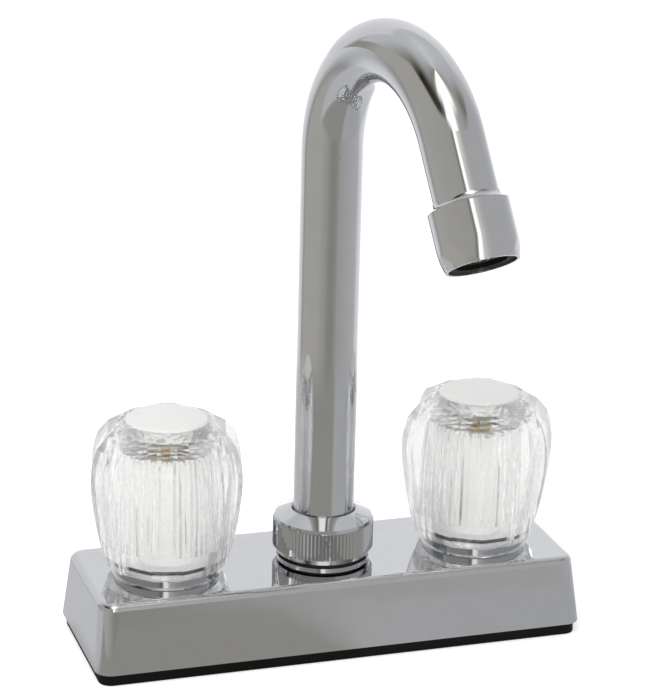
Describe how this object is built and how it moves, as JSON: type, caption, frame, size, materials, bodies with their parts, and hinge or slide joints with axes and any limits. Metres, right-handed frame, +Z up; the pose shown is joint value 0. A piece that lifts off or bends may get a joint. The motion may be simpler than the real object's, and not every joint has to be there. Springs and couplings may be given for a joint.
{
  "type": "bar faucet",
  "caption": "Two-handle bar faucet on a long deck cover, with a swivelling gooseneck spout and clear faceted knobs.",
  "frame": {"origin": "on the sink deck, at the centre of the base's underside, midway between the shanks", "axes": "+Z up, -Y towards the user and the sink bowl, -X the hot side, +X the cold side"},
  "size_m": [0.1576, 0.1217, 0.2476],
  "materials": {
    "chrome_plate": "polished",
    "black_plastic": "moulded",
    "cast_brass": "cast and turned",
    "white_acetal": "moulded",
    "white_plastic": "moulded",
    "clear_acrylic": "polished",
    "frosted_acrylic": "frosted",
    "black_rubber": "moulded",
    "stainless_steel": "drawn",
    "dark_housing": "moulded"
  },
  "bodies": {
    "fixed": {"deck_cover": "chrome_plate", "base_plate": "black_plastic", "spout_hub": "cast_brass", "hub_seal": "black_rubber", "spout_nut": "chrome_plate", "swivel_washer": "white_acetal", "hot_valve_body": "cast_brass", "hot_bonnet": "chrome_plate", "hot_cartridge": "white_acetal", "hot_valve_seat": "black_rubber", "hot_seat_spring": "stainless_steel", "hot_skirt_ring": "black_rubber", "cold_valve_body": "cast_brass", "cold_bonnet": "chrome_plate", "cold_cartridge": "white_acetal", "cold_valve_seat": "black_rubber", "cold_seat_spring": "stainless_steel", "cold_skirt_ring": "black_rubber"},
    "spout": {"spout_tube": "chrome_plate", "spout_tip": "chrome_plate", "spout_foot": "cast_brass", "spout_rings": "black_rubber", "aerator_housing": "dark_housing", "aerator_washer": "black_rubber", "aerator_diffuser": "white_acetal", "aerator_screen": "stainless_steel"},
    "hot_handle": {"hot_knob": "clear_acrylic", "hot_knob_liner": "white_plastic", "hot_knob_screw": "cast_brass", "hot_index_cap": "frosted_acrylic", "hot_stem": "cast_brass", "hot_stem_ring": "black_rubber"},
    "cold_handle": {"cold_knob": "clear_acrylic", "cold_knob_liner": "white_plastic", "cold_knob_screw": "cast_brass", "cold_index_cap": "frosted_acrylic", "cold_stem": "cast_brass", "cold_stem_ring": "black_rubber"}
  },
  "joints": [
    {"name": "spout_swivel", "type": "hinge", "parent": "fixed", "child": "spout", "pos_m": [0, 0, 0.0357], "axis": [0, 0, 1], "continuous": true},
    {"name": "hot_valve_turn", "type": "hinge", "parent": "fixed", "child": "hot_handle", "pos_m": [-0.0508, 0, 0.0284], "axis": [0, 0, 1], "range_deg": [0, 90]},
    {"name": "cold_valve_turn", "type": "hinge", "parent": "fixed", "child": "cold_handle", "pos_m": [0.0508, 0, 0.0284], "axis": [0, 0, 1], "range_deg": [-90, 0]}
  ]
}
